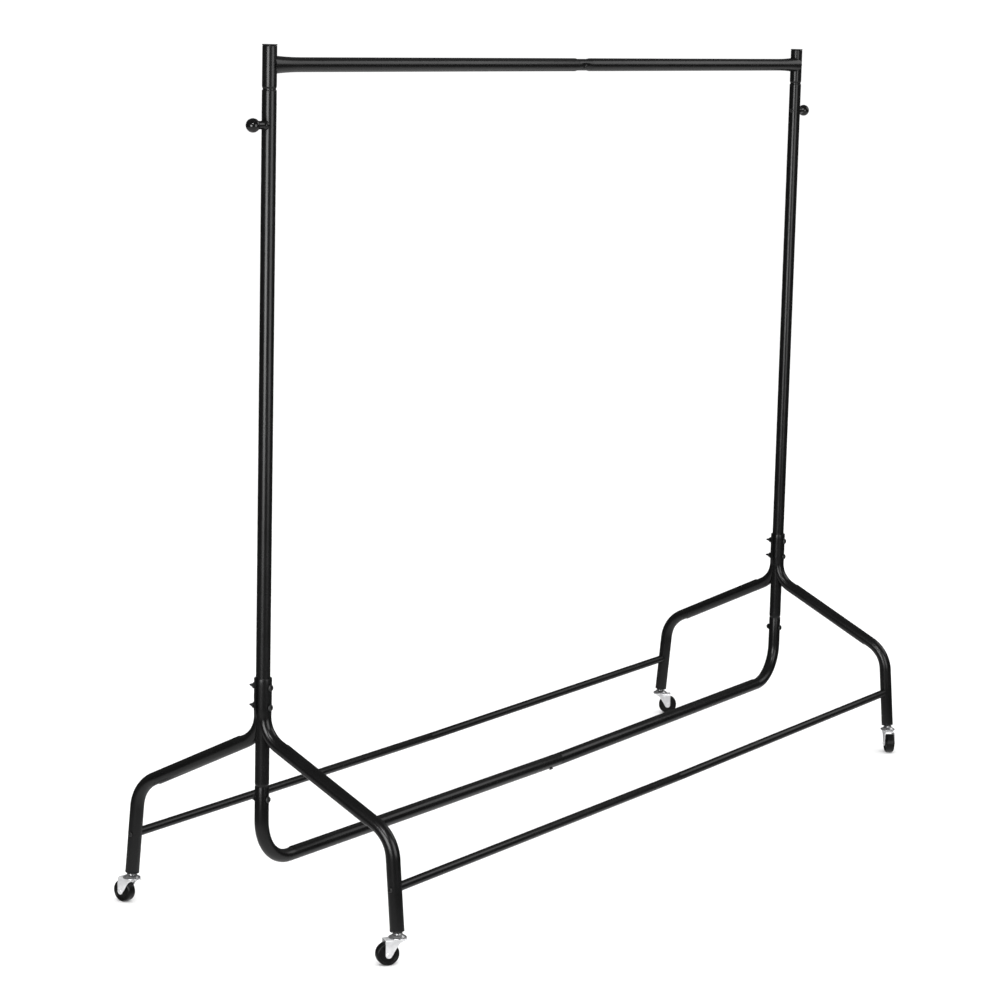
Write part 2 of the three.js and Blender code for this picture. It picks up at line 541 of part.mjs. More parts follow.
for (const [side, sign] of [['left', -1], ['right', 1]]) {
  const post = new THREE.Group();
  post.position.x = sign * HALF;
  rack.add(post);
  add(post, `tee_post_${side}`, teePost(), paint());
  add(post, `post_cap_${side}`, postCap(), plastic());
  add(post, `upright_${side}`, upright(), paint());

  const outward = new THREE.Group();
  outward.rotation.z = sign > 0 ? Math.PI : 0;
  post.add(outward);
  add(outward, `ball_knob_${side}`, ballKnob(), gloss());
  const knobScrew = facing(panScrew(SCREW_RADIUS, 44, 4.5, 2.6), [1, 0, 0]);
  add(outward, `knob_screw_${side}`, knobScrew, blackSteel()).position.set(CLEAR_RADIUS, 0, KNOB_Z);

  CLAMP_BOLT_Z.forEach((z, index) => {
    const level = index === 0 ? 'upper' : 'lower';
    const seat = SLEEVE_RADIUS + GAP;
    add(post, `clamp_bolt_${side}_${level}`, throughBolt(seat, CLAMP_TAIL), blackSteel()).position.z = z;
    add(post, `clamp_nut_${side}_${level}`, hexNut(seat), blackSteel()).position.z = z;
  });
  add(post, `foot_bolt_${side}`, throughBolt(CLEAR_RADIUS, FOOT_TAIL), blackSteel()).position.z = FOOT_BOLT_Z;
  add(post, `foot_nut_${side}`, hexNut(CLEAR_RADIUS), blackSteel()).position.z = FOOT_BOLT_Z;

  for (const [end, turn] of [['front', 0], ['rear', Math.PI]]) {
    const half = new THREE.Group();
    half.rotation.z = turn;
    post.add(half);
    add(half, `leg_${side}_${end}`, leg(), paint());
    add(half, `caster_socket_${side}_${end}`, casterSocket(), plastic());
    const outside = turn ? -sign : sign;
    const rodScrew = facing(panScrew(SCREW_RADIUS, 40, 4.4, 2.4), [outside, 0, 0]);
    const rodScrewMesh = add(half, `rod_screw_${side}_${end}`, rodScrew, blackSteel());
    rodScrewMesh.position.set(outside * CLEAR_RADIUS, -ROD_Y, ROD_Z);

    const swivel = new THREE.Group();
    swivel.position.set(sign * HALF, turn ? CASTER_Y : -CASTER_Y, 0);
    rack.add(swivel);
    add(swivel, `caster_stem_${side}_${end}`, casterStem(), zinc());
    const heading = new THREE.Group();
    heading.rotation.z = THREE.MathUtils.degToRad(CASTER_HEADINGS[`${side}_${end}`]);
    swivel.add(heading);
    add(heading, `caster_fork_${side}_${end}`, casterFork(), zinc());
    add(heading, `caster_axle_${side}_${end}`, casterAxle(), zinc());
    add(heading, `caster_wheel_${side}_${end}`, casterWheel(), plastic());
  }
}

// The front rod's right half carries the spigot; the rear rod is the same pair turned end for end.
for (const [end, turn, male, female] of [['front', 0, 'right', 'left'], ['rear', Math.PI, 'left', 'right']]) {
  const rod = new THREE.Group();
  rod.rotation.z = turn;
  rack.add(rod);
  const seam = new THREE.Group();
  seam.position.set(ROD_SEAM_X, -ROD_Y, ROD_Z - ROD_SAG);
  rod.add(seam);
  add(seam, `${end}_rod_${male}`, rodHalf(ROD_SEAM_X, true, LEG_SPLAY), paint());
  add(seam, `${end}_rod_${female}`, rodHalf(-ROD_SEAM_X, false, -LEG_SPLAY), paint()).rotation.z = Math.PI;
}

export default rack;
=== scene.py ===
# Straight garment rack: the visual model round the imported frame. Shapes are drawn in millimetres,
# and the frame's own boxes and joints say where each piece goes.
import json
import math

import bmesh
import bpy
import numpy as np
from mathutils import Matrix, Vector


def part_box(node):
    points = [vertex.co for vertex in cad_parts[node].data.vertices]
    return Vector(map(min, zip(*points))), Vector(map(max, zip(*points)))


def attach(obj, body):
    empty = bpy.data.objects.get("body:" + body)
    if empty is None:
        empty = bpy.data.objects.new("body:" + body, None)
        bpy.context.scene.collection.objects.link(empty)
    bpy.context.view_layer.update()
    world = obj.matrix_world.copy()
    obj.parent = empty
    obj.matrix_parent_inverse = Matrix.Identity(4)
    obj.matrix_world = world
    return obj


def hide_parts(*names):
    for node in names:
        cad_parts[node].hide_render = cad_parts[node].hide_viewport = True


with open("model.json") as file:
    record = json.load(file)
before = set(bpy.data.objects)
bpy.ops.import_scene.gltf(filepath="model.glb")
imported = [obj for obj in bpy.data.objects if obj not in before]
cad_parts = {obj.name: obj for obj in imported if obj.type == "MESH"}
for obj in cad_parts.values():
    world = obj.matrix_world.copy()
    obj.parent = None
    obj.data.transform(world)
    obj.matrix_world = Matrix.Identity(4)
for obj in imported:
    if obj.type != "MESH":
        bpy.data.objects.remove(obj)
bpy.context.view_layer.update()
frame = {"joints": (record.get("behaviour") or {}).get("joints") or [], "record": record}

MM = 0.001
ROUND = 64                      # sides of a tube
SHARP = math.radians(38)        # edges that turn more than this are shaded sharp
SIDES = {"left": -1, "right": 1}
ENDS = {"front": -1, "rear": 1}
SLOT_OF = {part["node"]: part["material_slot"] for part in frame["record"]["subparts"]}
BODY_OF = {node: body for body, nodes in frame["record"]["behaviour"]["bodies"].items() for node in nodes}
JOINT = {joint["name"]: joint for joint in frame["joints"]}


# ---- what the frame says ----
def low(node):
    return np.array(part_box(node)[0]) / MM


def high(node):
    return np.array(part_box(node)[1]) / MM


def middle(node):
    return (low(node) + high(node)) / 2


GAP = 0.3                       # between touching pieces
WALL = 1.0
POST_X = middle("upright_right")[0]
TUBE = (high("upright_right")[0] - low("upright_right")[0]) / 2
BORE = TUBE - WALL
SPIGOT = BORE - GAP
CLEAR = TUBE + GAP
POST_TOP = high("tee_post_left")[2]
POST_SEAM = high("upright_left")[2] + 1.6
FOOT_SEAM = high("bottom_rail_left")[2] + GAP
TOP_RAIL_Z = middle("top_rail_left")[2]
TOP_SEAM_X = high("top_rail_left")[0]
TOP_SCREW_X = middle("top_rail_screw")[0]
LOW_RAIL_Z = 124.0              # axis of the bottom rail at the posts; it hangs a little lower at its joint
LOW_SEAM_X = high("bottom_rail_left")[0]
LOW_DROOP = LOW_RAIL_Z - TUBE - low("bottom_rail_left")[2]
LOW_SCREW_X = middle("bottom_rail_screw")[0]
LOW_SCREW_Z = LOW_RAIL_Z - LOW_DROOP * (POST_X + LOW_SCREW_X) / (POST_X + LOW_SEAM_X)
KNOB_Z = middle("ball_knob_left")[2]
SLEEVE_TOP = high("leg_left_front")[2]
ROD = 8.0
ROD_Z = middle("rod_screw_left_front")[2]
ROD_Y = -middle("rod_screw_left_front")[1]
ROD_SEAM_X = high("front_rod_left")[0] + GAP
ROD_DROOP = ROD_Z - ROD - low("front_rod_left")[2]
STEM_Y = -JOINT["swivel_left_front"]["pos_m"][1] / MM
WHEEL = (high("caster_wheel_left_front")[2] - low("caster_wheel_left_front")[2]) / 2
WHEEL_HALF = 8.5


# ---- materials ----
def new_material(name):
    material = bpy.data.materials.new(name)
    material.use_nodes = True
    return material, material.node_tree.nodes["Principled BSDF"]


def noise(shader, scale, detail, roughness=0.55):
    """Noise over the piece's own surface, in cycles per metre."""
    nodes, links = shader.id_data.nodes, shader.id_data.links
    place = nodes.new("ShaderNodeTexCoord")
    texture = nodes.new("ShaderNodeTexNoise")
    texture.inputs["Scale"].default_value = scale
    texture.inputs["Detail"].default_value = detail
    texture.inputs["Roughness"].default_value = roughness
    links.new(place.outputs["Object"], texture.inputs["Vector"])
    return texture.outputs["Fac"]


def vary(shader, socket, texture, low_at, high_at, first, second):
    """Runs a socket from one grey to another as a noise goes from one level to another."""
    nodes, links = shader.id_data.nodes, shader.id_data.links
    node = nodes.new("ShaderNodeValToRGB")
    node.color_ramp.elements[0].position = low_at
    node.color_ramp.elements[1].position = high_at
    node.color_ramp.elements[0].color = first
    node.color_ramp.elements[1].color = second
    links.new(texture, node.inputs["Fac"])
    links.new(node.outputs["Color"], shader.inputs[socket])


def grey(value, tint=0.0):
    return (value, value, value * (1 + tint), 1)


def bump(shader, height, strength, distance, below=None):
    nodes, links = shader.id_data.nodes, shader.id_data.links
    node = nodes.new("ShaderNodeBump")
    node.inputs["Strength"].default_value = strength
    node.inputs["Distance"].default_value = distance
    links.new(height, node.inputs["Height"])
    if below:
        links.new(below, node.inputs["Normal"])
    links.new(node.outputs["Normal"], shader.inputs["Normal"])
    return node.outputs["Normal"]


def powder_coat():
    """Satin black powder coat: fine orange peel, faint flow, a few duller patches from handling."""
    material, shader = new_material("powder_coat")
    shader.inputs["Specular IOR Level"].default_value = 0.42
    peel = noise(shader, 700, 2.0)
    flow = noise(shader, 60, 2.0)
    patches = noise(shader, 14, 3.0)
    vary(shader, "Base Color", patches, 0.3, 0.7, grey(0.0022), grey(0.0038, 0.04))
    vary(shader, "Roughness", patches, 0.35, 0.7, grey(0.245), grey(0.285))
    broad = bump(shader, flow, 0.05, 0.0006)
    bump(shader, peel, 0.08, 0.00012, broad)
    return material


def black_zinc():
    """Black plated steel of the bolts and screws, with slight wear."""
    material, shader = new_material("black_zinc")
    shader.inputs["Metallic"].default_value = 0.6
    grain = noise(shader, 900, 4.0)
    wear = noise(shader, 160, 5.0)
    vary(shader, "Base Color", wear, 0.45, 0.75, grey(0.025), grey(0.07))
    vary(shader, "Roughness", wear, 0.3, 0.7, grey(0.26), grey(0.4))
    bump(shader, grain, 0.2, 0.0001)
    return material


def cap_plastic():
    """Moulded black plastic with a fine spark-eroded grain."""
    material, shader = new_material("cap_plastic")
    grain = noise(shader, 1400, 3.0)
    patches = noise(shader, 40, 4.0)
    vary(shader, "Base Color", patches, 0.3, 0.7, grey(0.002), grey(0.005))
    vary(shader, "Roughness", patches, 0.3, 0.7, grey(0.42), grey(0.52))
    bump(shader, grain, 0.3, 0.0001)
    return material


def knob_gloss():
    """Polished black plastic with a little sink and a few fine scuffs."""
    material, shader = new_material("knob_gloss")
    scuff = noise(shader, 300, 6.0, 0.7)
    flow = noise(shader, 45, 2.0)
    vary(shader, "Base Color", flow, 0.3, 0.7, grey(0.002), grey(0.004))
    vary(shader, "Roughness", scuff, 0.5, 0.8, grey(0.09), grey(0.2))
    bump(shader, flow, 0.05, 0.0004)
    return material


def bright_zinc():
    """Bright zinc plate on pressed steel: soft waves from pressing, a fine grain and cloudy spots."""
    material, shader = new_material("bright_zinc")
    shader.inputs["Metallic"].default_value = 0.55
    cloud = noise(shader, 220, 5.0)
    waves = noise(shader, 130, 2.0)
    grain = noise(shader, 1800, 3.0)
    vary(shader, "Base Color", cloud, 0.3, 0.75, grey(0.80, 0.02), grey(0.96, 0.01))
    vary(shader, "Roughness", cloud, 0.3, 0.7, grey(0.26), grey(0.16))
    broad = bump(shader, waves, 0.25, 0.0005)
    bump(shader, grain, 0.12, 0.00006, broad)
    return material


def shaded_race_zinc():
    """The same plate on the casters' drawn races, which mirror their surroundings more, in a darker copy
    whose darker base colour is painted shade.
    """
    material, shader = new_material("shaded_race_zinc")
    shader.inputs["Metallic"].default_value = 0.92
    cloud = noise(shader, 260, 5.0)
    grain = noise(shader, 1600, 3.0)
    # painted shade: the races' base colour is set darker than the bright zinc plate's
    vary(shader, "Base Color", cloud, 0.3, 0.75, grey(0.52, 0.02), grey(0.72, 0.01))
    vary(shader, "Roughness", cloud, 0.3, 0.7, grey(0.26), grey(0.17))
    bump(shader, grain, 0.12, 0.00006)
    return material


def wheel_plastic():
    """Hard black tread: moulding grain, and dust that dulls it in places."""
    material, shader = new_material("wheel_plastic")
    shader.inputs["Specular IOR Level"].default_value = 0.3
    grain = noise(shader, 1200, 3.0)
    dust = noise(shader, 120, 6.0, 0.65)
    vary(shader, "Base Color", dust, 0.45, 0.8, grey(0.0015), grey(0.004))
    vary(shader, "Roughness", dust, 0.35, 0.75, grey(0.30), grey(0.5))
    bump(shader, grain, 0.25, 0.0001)
    return material


MATERIALS = {
    "frame_paint": powder_coat(),
    "black_steel": black_zinc(),
    "cap_plastic": cap_plastic(),
    "knob_gloss": knob_gloss(),
    "zinc_plate": bright_zinc(),
    "wheel_plastic": wheel_plastic(),
}
# the darker copy of the zinc plate for the races, with painted shade in its base colour
SHADED_RACE_ZINC = shaded_race_zinc()


# ---- rings and skins ----
def skin(rings, closed=False):
    """Points and faces over a run of equal rings: capped at both ends, or closed on itself."""
    rings = np.asarray(rings, float)
    count, sides = rings.shape[:2]
    faces = []
    for i in range(count if closed else count - 1):
        a, b = i * sides, (i + 1) % count * sides
        for k in range(sides):
            n = (k + 1) % sides
            faces.append((a + k, a + n, b + n, b + k))
    if not closed:
        faces.append(tuple(range(sides)))
        faces.append(tuple(range((count - 1) * sides, count * sides)))
    return rings.reshape(-1, 3), faces


def soften(profile, radius, steps=3):
    """Rounds a profile's corners. The ends of an open profile stay."""
    points = [np.array(p, float) for p in profile]
    closed = np.allclose(points[0], points[-1])
    body = points[:-1] if closed else points
    out = []
    for i, point in enumerate(body):
        if not closed and i in (0, len(body) - 1):
            out.append(point)
            continue
        a = body[i - 1] - point
        b = body[(i + 1) % len(body)] - point
        length_a, length_b = np.linalg.norm(a), np.linalg.norm(b)
        reach = min(radius, 0.45 * length_a, 0.45 * length_b)
        start, end = point + a / length_a * reach, point + b / length_b * reach
        for t in np.linspace(0, 1, steps + 1):
            out.append((1 - t) ** 2 * start + 2 * t * (1 - t) * point + t * t * end)
    return out + [out[0]] if closed else out


def angles(sides):
    """Ring angles, half a step off the axes."""
    return (np.arange(sides) + 0.5) * 2 * math.pi / sides


def ring(radius, z, sides):
    turn = angles(sides)
    return np.stack([radius * np.cos(turn), radius * np.sin(turn), np.full(sides, z)], 1)


def turned(profile, sides=ROUND, corner=0.3, steps=3):
    """A profile of (radius, height) turned about +Z."""
    points = soften(profile, corner, steps) if corner else [np.array(p, float) for p in profile]
    closed = np.allclose(points[0], points[-1])
    if closed:
        points = points[:-1]
    return skin([ring(r, z, sides) for r, z in points], closed)


def moved(shape, matrix):
    points, faces = shape
    turn = np.array(matrix.to_3x3())
    return points @ turn.T + np.array(matrix.translation), faces


def turn_to(direction, place=(0, 0, 0)):
    """The matrix that takes +Z to a direction, at a place."""
    quaternion = Vector((0, 0, 1)).rotation_difference(Vector(direction))
    return Matrix.Translation(place) @ quaternion.to_matrix().to_4x4()


def clean(mesh):
    """Merges doubled points, faces everything outwards and shades it smooth between sharp edges."""
    work = bmesh.new()
    work.from_mesh(mesh)
    bmesh.ops.remove_doubles(work, verts=work.verts, dist=1e-6)
    bmesh.ops.dissolve_degenerate(work, edges=work.edges, dist=1e-7)
    bmesh.ops.recalc_face_normals(work, faces=work.faces)
    work.to_mesh(mesh)
    work.free()
    mesh.polygons.foreach_set("use_smooth", [True] * len(mesh.polygons))
    mesh.set_sharp_from_angle(angle=SHARP)
    mesh.update()


def new_object(name, shape):
    points, faces = shape
    mesh = bpy.data.meshes.new(name)
    mesh.from_pydata((np.asarray(points) * MM).tolist(), [], faces)
    clean(mesh)
    obj = bpy.data.objects.new(name, mesh)
    bpy.context.scene.collection.objects.link(obj)
    return obj


def show(node, shape_or_object, material=None):
    """Puts a fine piece in place of its CAD node, on the same body and with the same finish."""
    obj = shape_or_object
    if isinstance(obj, tuple):
        obj = new_object("fine_" + node, obj)
    obj.data.materials.clear()
    obj.data.materials.append(material or MATERIALS[SLOT_OF[node]])
    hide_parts(node)
    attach(obj, BODY_OF[node])


def with_modifier(obj, kind, **settings):
    """Applies one modifier to an object's mesh."""
    modifier = obj.modifiers.new(kind.lower(), kind)
    for key, value in settings.items():
        setattr(modifier, key, value)
    bpy.context.view_layer.update()
    graph = bpy.context.evaluated_depsgraph_get()
    mesh = bpy.data.meshes.new_from_object(obj.evaluated_get(graph))
    obj.modifiers.clear()
    obj.data = mesh


def combined(obj, shape, operation):
    """Joins, cuts or intersects an object with a shape."""
    tool = new_object("tool", shape)
    with_modifier(obj, "BOOLEAN", operation=operation, solver="EXACT", object=tool)
    bpy.data.objects.remove(tool)


# ---- sweeps ----
def ease(value, start, end):
    """A smooth step from 0 to 1."""
    t = min(1.0, max(0.0, (value - start) / (end - start)))
    return t * t * (3 - 2 * t)


BEND_STEPS = 24
DIE_PRESS = 1.5                 # how far the bending die presses in a bend's inner side
DIE_REACH = 10.0                # how far the press runs on past the bend, before it ends in a step
DIE_STEP = 1.5                  # length of that step


def bent_path(corners, bends):
    """Stations (point, tangent) along straight runs joined by arcs."""
    corners = [np.array(c, float) for c in corners]
    tangent = (corners[1] - corners[0]) / np.linalg.norm(corners[1] - corners[0])
    stations = [(corners[0], tangent)]
    for i, radius in enumerate(bends, 1):
        into = (corners[i] - corners[i - 1]) / np.linalg.norm(corners[i] - corners[i - 1])
        out = (corners[i + 1] - corners[i]) / np.linalg.norm(corners[i + 1] - corners[i])
        turn = math.acos(float(np.clip(into @ out, -1, 1)))
        inward = (out - into * (into @ out)) / math.sin(turn)
        start = corners[i] - into * radius * math.tan(turn / 2)
        for angle in np.linspace(0, turn, BEND_STEPS + 1):
            place = start + into * radius * math.sin(angle) + inward * radius * (1 - math.cos(angle))
            stations.append((place, into * math.cos(angle) + inward * math.sin(angle)))
    stations.append((corners[-1], stations[-1][1]))
    return stations


def station_ring(station, side, radius, press=None):
    """A ring across a station. Its first axis is side, its second lies across the path."""
    place, tangent = station
    side = np.array(side, float)
    across = np.cross(tangent, side)
    turn = angles(ROUND)[:, None]
    spokes = np.cos(turn) * side + np.sin(turn) * across
    if press is not None:
        depth = np.linalg.norm(press)
        inner_side = np.maximum(spokes @ press / max(depth, 1e-9), 0)
        spokes = spokes - inner_side[:, None] * press / TUBE
    return place + radius * spokes


def along(station, distance):
    return station[0] + station[1] * distance, station[1]


def die_pressed(path, marked_ends):
    """Stations, and the die's press at each towards its bend's centre, which steps back at the marked end."""
    none = np.zeros(3)
    out = [(path[0], none)]
    for bend, marked in enumerate(marked_ends):
        first = 1 + bend * (BEND_STEPS + 1)
        arc = path[first:first + BEND_STEPS + 1]
        turn = arc[-1][1] - arc[0][1]
        run = []
        for i, station in enumerate(arc):
            share = i / BEND_STEPS if marked == "end" else 1 - i / BEND_STEPS
            inward = turn - station[1] * (turn @ station[1])
            run.append((station, inward / np.linalg.norm(inward) * DIE_PRESS * ease(share, 0.0, 0.5)))
        station, press = run[-1 if marked == "end" else 0]
        way = 1 if marked == "end" else -1
        pressed_to, full_from = along(station, way * DIE_REACH), along(station, way * (DIE_REACH + DIE_STEP))
        step = [(pressed_to, press), (full_from, none)]
        out += run + step if marked == "end" else step[::-1] + run
    out.append((path[-1], none))
    return [station for station, _ in out], [press for _, press in out]


def rounded_mouth(station, side, outer, inner, sign):
    """The rings from a tube's outside, round its rim, to its inside. sign is +1 where the path ends."""
    rings = []
    for inset, back in ((0.0, 0.8), (0.12, 0.3), (0.35, 0.0)):
        rings.append(station_ring(along(station, -sign * back), side, outer - inset))
    rings.append(station_ring(station, side, inner + 0.15))
    rings.append(station_ring(along(station, -sign * 0.3), side, inner))
    return rings


# ---- posts, rails and rods ----
def spigot_tube(bottom, top, spigot):
    """A tube with its lower end swaged to plug into the next one: a drawn-in shoulder over a square rim."""
    neck = SPIGOT - WALL
    return turned([
        (SPIGOT - 0.5, bottom - spigot), (SPIGOT, bottom - spigot + 1.5), (SPIGOT, bottom + 0.6),
        (TUBE - 0.7, bottom + 2.0), (TUBE - 0.15, bottom + 3.4), (TUBE, bottom + 6), (TUBE, top - 3),
        (TUBE - 0.1, top - 0.9), (TUBE - 0.5, top), (BORE, top), (BORE, bottom + 6), (neck, bottom + 2.5),
        (neck, bottom - spigot), (SPIGOT - 0.5, bottom - spigot),
    ], corner=0.5)


def post_cap():
    """A push-in cap with a thin brim and a slightly crowned edge."""
    brim, plug = TUBE + 0.5, BORE - GAP
    rise = high("post_cap_left")[2]
    return turned([
        (0, POST_TOP - 12), (plug - 1, POST_TOP - 12), (plug, POST_TOP - 11), (plug, POST_TOP + GAP),
        (brim - 0.2, POST_TOP + GAP), (brim, POST_TOP + 0.6), (brim, rise - 0.7), (brim - 0.7, rise),
        (0, rise),
    ], corner=0.35)


FLARE_LENGTH, FLARE_INSET = 95.0, 4.0      # the pressed end runs a little way past the post's axis
FLARE_TALL, FLARE_WIDE = 0.34, 0.22         # growth of the section at the full flare
FLARE_CURVE = 2.2


def flare_point(reach_from_post, turn, radius):
    """A point on the pressed end of the hanging rail. reach is measured from the post's axis."""
    swell = max(0.0, (FLARE_LENGTH - FLARE_INSET - reach_from_post) / FLARE_LENGTH) ** FLARE_CURVE
    y = radius * math.cos(turn) * (1 + FLARE_WIDE * swell)
    z = radius * math.sin(turn) * (1 + FLARE_TALL * swell)
    return np.array([reach_from_post, y, z])


def flare_ring(reach, radius, coped=False):
    """A ring of the pressed end. A coped ring is moved along the rail until it meets the post's surface."""
    points = []
    for turn in angles(ROUND):
        point = flare_point(reach, turn, radius)
        for _ in range(4 if coped else 0):
            held = max(1.0, math.sqrt(max(0.0, CLEAR ** 2 - point[1] ** 2)))
            point = flare_point(held, turn, radius)
        points.append(point)
    return points


TOP_RAIL_SPIGOT = 60.0
TOP_SCREW_LEAN = 20             # degrees below the front's horizontal
WAIST_DEEP = 1.3
DIMPLE_LONG = 16.0              # the dimple's half length along the rail
DIMPLE_ROUND = 0.62             # and its half width round the rail, in radians
DIMPLE_DEEP = 1.7
TOP_SCREW_SEAT = TUBE - WAIST_DEEP - DIMPLE_DEEP + 0.2      # the head stands a little off the dimple's floor


def top_rail_point(x, radius, turn, sign):
    """A point on the rail's joint. A dimple is pressed in round the screw, at the front."""
    along_rail = (x - (POST_X - sign * TOP_SCREW_X)) / DIMPLE_LONG
    screw_turn = (math.pi if sign < 0 else 0) + sign * math.radians(-TOP_SCREW_LEAN)
    round_rail = math.remainder(turn - screw_turn, 2 * math.pi) / DIMPLE_ROUND
    radius -= DIMPLE_DEEP * math.exp(-(along_rail ** 4) - round_rail ** 4)
    return x, radius * math.cos(turn), radius * math.sin(turn)


def top_rail_half(sign):
    """Half of the hanging rail, drawn from the post's axis inwards along +X, then turned into place."""
    reaches = (15, 17, 20, 24, 30, 37, 45, 54, 64, 75, 91)
    outside = [flare_ring(0, TUBE, True)] + [flare_ring(reach, TUBE) for reach in reaches]
    inside = [flare_ring(0, BORE, True)] + [flare_ring(reach, BORE) for reach in reaches]
    seam = POST_X - sign * TOP_SEAM_X
    if sign < 0:
        end = [(TUBE, seam - 2.6), (TUBE - 0.2, seam - 1.6), (TUBE - 0.6, seam - 1.2),
               (BORE, seam - 1.2), (BORE, seam - 3)]
    else:
        waist = POST_X - 2 * TOP_SCREW_X + TOP_SEAM_X
        slim, reach = TUBE - WAIST_DEEP, TOP_RAIL_SPIGOT
        end = [(TUBE, waist - 5), (TUBE - 0.35, waist - 2), (slim + 0.3, waist + 3)]
        end += [(slim, x) for x in np.linspace(waist + 6, seam - 3, 24)]
        end += [(slim - 0.3, seam - 1.2), (SPIGOT - 0.2, seam - 1), (SPIGOT - 0.2, seam + reach - 1),
                (SPIGOT - 0.7, seam + reach), (SPIGOT - WALL, seam + reach)]
        end += [(SPIGOT - WALL, x) for x in np.linspace(seam + 2, waist + 6, 26)]
        end.append((BORE, waist - 4))
    rings = [[top_rail_point(x, r, t, sign) for t in angles(ROUND)] for r, x in end]
    points, faces = skin(outside + rings + inside[::-1], closed=True)
    facing = Matrix.Rotation(math.pi if sign > 0 else 0, 4, "Z")
    return moved((points, faces), Matrix.Translation((sign * POST_X, 0, TOP_RAIL_Z)) @ facing)


RAIL_BEND = 80.0
LOW_RAIL_SPIGOT = 70.0
LOW_SCREW_LEAN = 60             # degrees below the front's horizontal


def bottom_rail_half(sign):
    """Half of the bottom rail with its upturned end. The right half carries the spigot."""
    side = (0, 1, 0)
    seam = LOW_SEAM_X + (GAP if sign > 0 else 0)
    corners = [(sign * POST_X, 0, FOOT_SEAM - GAP), (sign * POST_X, 0, LOW_RAIL_Z),
               (seam, 0, LOW_RAIL_Z - LOW_DROOP)]
    path, presses = die_pressed(bent_path(corners, [RAIL_BEND]), ["end"])
    inner = [station_ring(station, side, BORE, press) for station, press in zip(path, presses)]
    outer = [station_ring(station, side, TUBE, press) for station, press in zip(path, presses)]
    mouth = rounded_mouth(path[0], side, TUBE, BORE, -1)
    if sign < 0:
        tail = rounded_mouth(path[-1], side, TUBE, BORE, 1)
        return skin(mouth[::-1] + outer[1:-1] + tail + inner[1:-1][::-1], closed=True)
    slope = np.array([-1.0, 0, math.sin(math.atan2(LOW_DROOP, POST_X + seam))])
    slope /= np.linalg.norm(slope)
    joint = (path[-1][0], slope)
    tail = [station_ring(along(path[-1], reach), side, radius)
            for reach, radius in ((-2.0, TUBE), (-0.6, TUBE - 0.25), (0, TUBE - 0.6))]
    tail += [station_ring(along(joint, reach), side, radius) for reach, radius in (
        (0.2, SPIGOT), (LOW_RAIL_SPIGOT - 0.5, SPIGOT), (LOW_RAIL_SPIGOT, SPIGOT - 0.5),
        (LOW_RAIL_SPIGOT, SPIGOT - WALL), (-4, SPIGOT - WALL))]
    return skin(mouth[::-1] + outer[1:-1] + tail + inner[1:-1][::-1], closed=True)


LEG_SPLAY = math.radians(5)
ROD_PLUG = 36.0                 # how far the plug in a rod's end reaches from the leg's axis
ROD_SPIGOT = 45.0


def rod_half(end, sign):
    """Half a shoe rod, drawn from the leg's axis inwards along +X. Its plug is coped to the leg."""
    male = sign == -ENDS[end]
    seam_x = -ENDS[end] * ROD_SEAM_X
    drop = math.atan2(ROD_DROOP, POST_X - sign * seam_x)
    length = (POST_X - sign * seam_x) / math.cos(drop)
    lean = -ENDS[end] * sign * LEG_SPLAY

    def coped(radius):
        points = []
        for turn in angles(ROUND // 2):
            y, z = radius * math.cos(turn), radius * math.sin(turn)
            across = y * math.cos(lean) + z * math.sin(lean)
            points.append((math.sqrt(CLEAR ** 2 - across ** 2), y, z))
        return points

    def plain(radius, x):
        return [(x, radius * math.cos(t), radius * math.sin(t)) for t in angles(ROUND // 2)]

    bore = ROD - WALL
    neck = bore - 2 * GAP
    rings = [coped(r) for r in (0, 2.5, 5, 6.8, 7.7, ROD)]
    rings += [plain(ROD, 16), plain(ROD, length - 1)]
    if male:
        tip = length + ROD_SPIGOT
        rings += [plain(ROD - 0.3, length - 0.2), plain(neck, length), plain(neck, tip - 0.5),
                  plain(neck - 0.5, tip), plain(neck - WALL, tip), plain(neck - WALL, ROD_PLUG)]
    else:
        rings += [plain(ROD - 0.3, length - GAP), plain(bore, length - GAP), plain(bore, ROD_PLUG)]
    rings.append(plain(0, ROD_PLUG))
    facing = Matrix.Rotation(math.pi if sign > 0 else 0, 4, "Z")
    tilt = Matrix.Rotation(drop, 4, "Y")
    place = Matrix.Translation((sign * POST_X, ENDS[end] * ROD_Y, ROD_Z))
    return moved(skin(rings), place @ facing @ tilt)


# ---- legs ----
LEG_OFFSET = 3.1                # leg's axis beside the upright's, inside the sleeve
LEG_SLOPE = math.radians(26.5)
SHOULDER = (276.6, 219.4)       # distance from the upright and height, before rounding
LEG_BENDS = (60.0, 70.0)
LEG_END = 60.0
FOOT_Y = SHOULDER[0] + (SHOULDER[1] - LEG_END) * math.tan(LEG_SPLAY)
SLEEVE_OUT = 15.6               # the sleeve's outer radius
SLEEVE_REACH = math.radians(80)
SLEEVE_FOOT = (382.0, 404.0)    # the round tube opens out into the sleeve between these heights
CONTACT_FROM = 290.0            # the leg may lie against the upright above this height


def pressed(points, turn_of):
    """Presses the leg's round section against the upright, and opens it out into the half sleeve."""
    out = []
    for point, turn in zip(points, turn_of):
        x, y, z = point
        if z > CONTACT_FROM and abs(x) < CLEAR:
            y = min(y, -math.sqrt(CLEAR ** 2 - x * x))
        opening = ease(z, *SLEEVE_FOOT)
        if opening > 0:
            outward = abs(turn) <= math.pi / 2
            share = turn if outward else math.copysign(math.pi - abs(turn), turn)
            reach = share / (math.pi / 2) * SLEEVE_REACH
            radius = SLEEVE_OUT if outward else CLEAR
            target = (radius * math.sin(reach), -radius * math.cos(reach))
            x += (target[0] - x) * opening
            y += (target[1] - y) * opening
        out.append((x, y, z))
    return out


